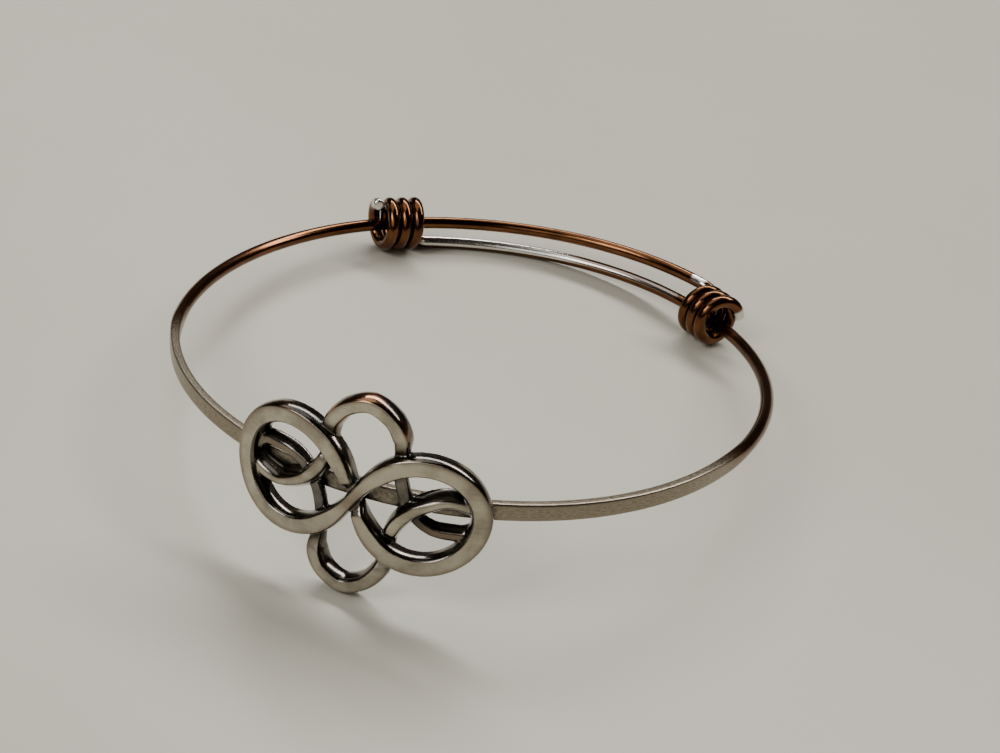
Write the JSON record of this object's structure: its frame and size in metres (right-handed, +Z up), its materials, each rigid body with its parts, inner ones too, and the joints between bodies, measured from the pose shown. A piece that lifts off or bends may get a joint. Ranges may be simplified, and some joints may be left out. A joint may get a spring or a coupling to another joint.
{
  "type": "charm bangle",
  "caption": "Adjustable wire bangle with a flat front, two sliding coils at the back and a cast infinity-knot charm fixed on its front.",
  "frame": {"origin": "bottom centre of the part's box, on the surface that the bangle rests on", "axes": "+Z up from the resting surface, +Y from the charm at the front to the overlap at the back, +X to the right as seen from the charm's side"},
  "size_m": [0.0662, 0.0752, 0.0209],
  "materials": {
    "wire": "finely brushed flat front, polished round wire with a warm brown tone",
    "casting": "antique silver, rubbed bright on the faces and blackened in the recesses"
  },
  "bodies": {
    "root": {"band": "wire", "charm": "casting"}
  },
  "joints": []
}
